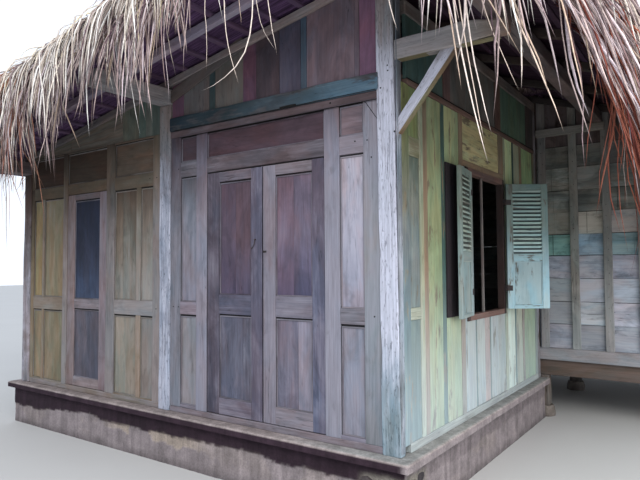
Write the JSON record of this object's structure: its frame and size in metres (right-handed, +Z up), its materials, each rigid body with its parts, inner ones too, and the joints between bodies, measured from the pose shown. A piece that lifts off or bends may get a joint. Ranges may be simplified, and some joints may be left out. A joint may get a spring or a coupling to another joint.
{
  "type": "thatched timber stilt house",
  "caption": "Timber house with a panelled front room on a masonry plinth, a boarded house on stilts behind it, louvred shutters and a thatched roof.",
  "frame": {"origin": "centre of the whole building's footprint, roof overhangs included, at ground level", "axes": "+X to the right along the front wall, +Y from the front wall to the raised house behind, +Z up"},
  "size_m": [9.6, 8.756, 5.0662],
  "materials": {
    "masonry": "stained rubble masonry with peeling render",
    "mortar": "worn cement mortar",
    "pad_stone": "rough field stone",
    "dark_timber": "dark aged teak",
    "floor_boards": "worn teak boards",
    "weathered_timber": "weathered teak",
    "post_timber": "pale grey weathered teak with open grain",
    "ochre_panels": "washed-out ochre paint on teak",
    "brown_panels": "thin brown paint on teak",
    "grey_panels": "grey weathered teak",
    "teal_paint": "worn blue-green paint on teak",
    "dark_boards": "dark boards with remains of green and maroon paint",
    "olive_boards": "worn olive and yellow paint on teak",
    "shutter_paint": "grey-green paint, worn",
    "grey_boards": "grey-brown weathered boards",
    "thatch": "dry grass thatch",
    "door_panels": "faded purple-brown paint on teak",
    "blue_door": "dark blue-grey paint on teak"
  },
  "bodies": {
    "house": {"plinth": "masonry", "plinth_cap": "mortar", "front_floor": "mortar", "pad_stones": "pad_stone", "stilts": "dark_timber", "floor_beams": "dark_timber", "floor_joists": "dark_timber", "house_floor": "floor_boards", "house_sills": "weathered_timber", "posts": "post_timber", "front_sill": "weathered_timber", "wall_left_of_side_door": "ochre_panels", "wall_right_of_side_door": "ochre_panels", "side_door_frieze": "brown_panels", "wall_left_of_main_door": "grey_panels", "wall_right_of_main_door": "grey_panels", "main_door_frieze": "brown_panels", "front_tie_beam": "teal_paint", "gable_boards": "dark_boards", "right_wall": "olive_boards", "right_tie_beam": "dark_timber", "right_upper_boards": "dark_boards", "left_wall": "olive_boards", "window_frames": "weathered_timber", "window_shutters": "shutter_paint", "house_front_wall": "grey_boards", "house_right_wall": "grey_boards", "house_back_wall": "grey_boards", "house_left_wall": "grey_boards", "house_beams": "dark_timber", "ridge_beam": "dark_timber", "front_purlins": "weathered_timber", "corner_beam": "post_timber", "corner_brace": "post_timber", "front_rafters": "dark_timber", "house_rafters": "dark_timber", "roof_battens": "dark_timber", "front_thatch_left": "thatch", "front_thatch_right": "thatch", "house_thatch_front": "thatch", "house_thatch_back": "thatch", "ridge_cap": "thatch"},
    "main_door_left": {"main_door_left": "door_panels"},
    "main_door_right": {"main_door_right": "door_panels"},
    "side_door": {"side_door": "blue_door"}
  },
  "joints": [
    {"name": "main_door_left_hinge", "type": "hinge", "parent": "house", "child": "main_door_left", "pos_m": [-1.202, -3.401, 1.5], "axis": [0, 0, 1], "range_deg": [0, 100]},
    {"name": "main_door_right_hinge", "type": "hinge", "parent": "house", "child": "main_door_right", "pos_m": [0.027, -3.401, 1.5], "axis": [0, 0, -1], "range_deg": [0, 100]},
    {"name": "side_door_hinge", "type": "hinge", "parent": "house", "child": "side_door", "pos_m": [-3.333, -3.401, 1.5], "axis": [0, 0, 1], "range_deg": [0, 100]}
  ]
}
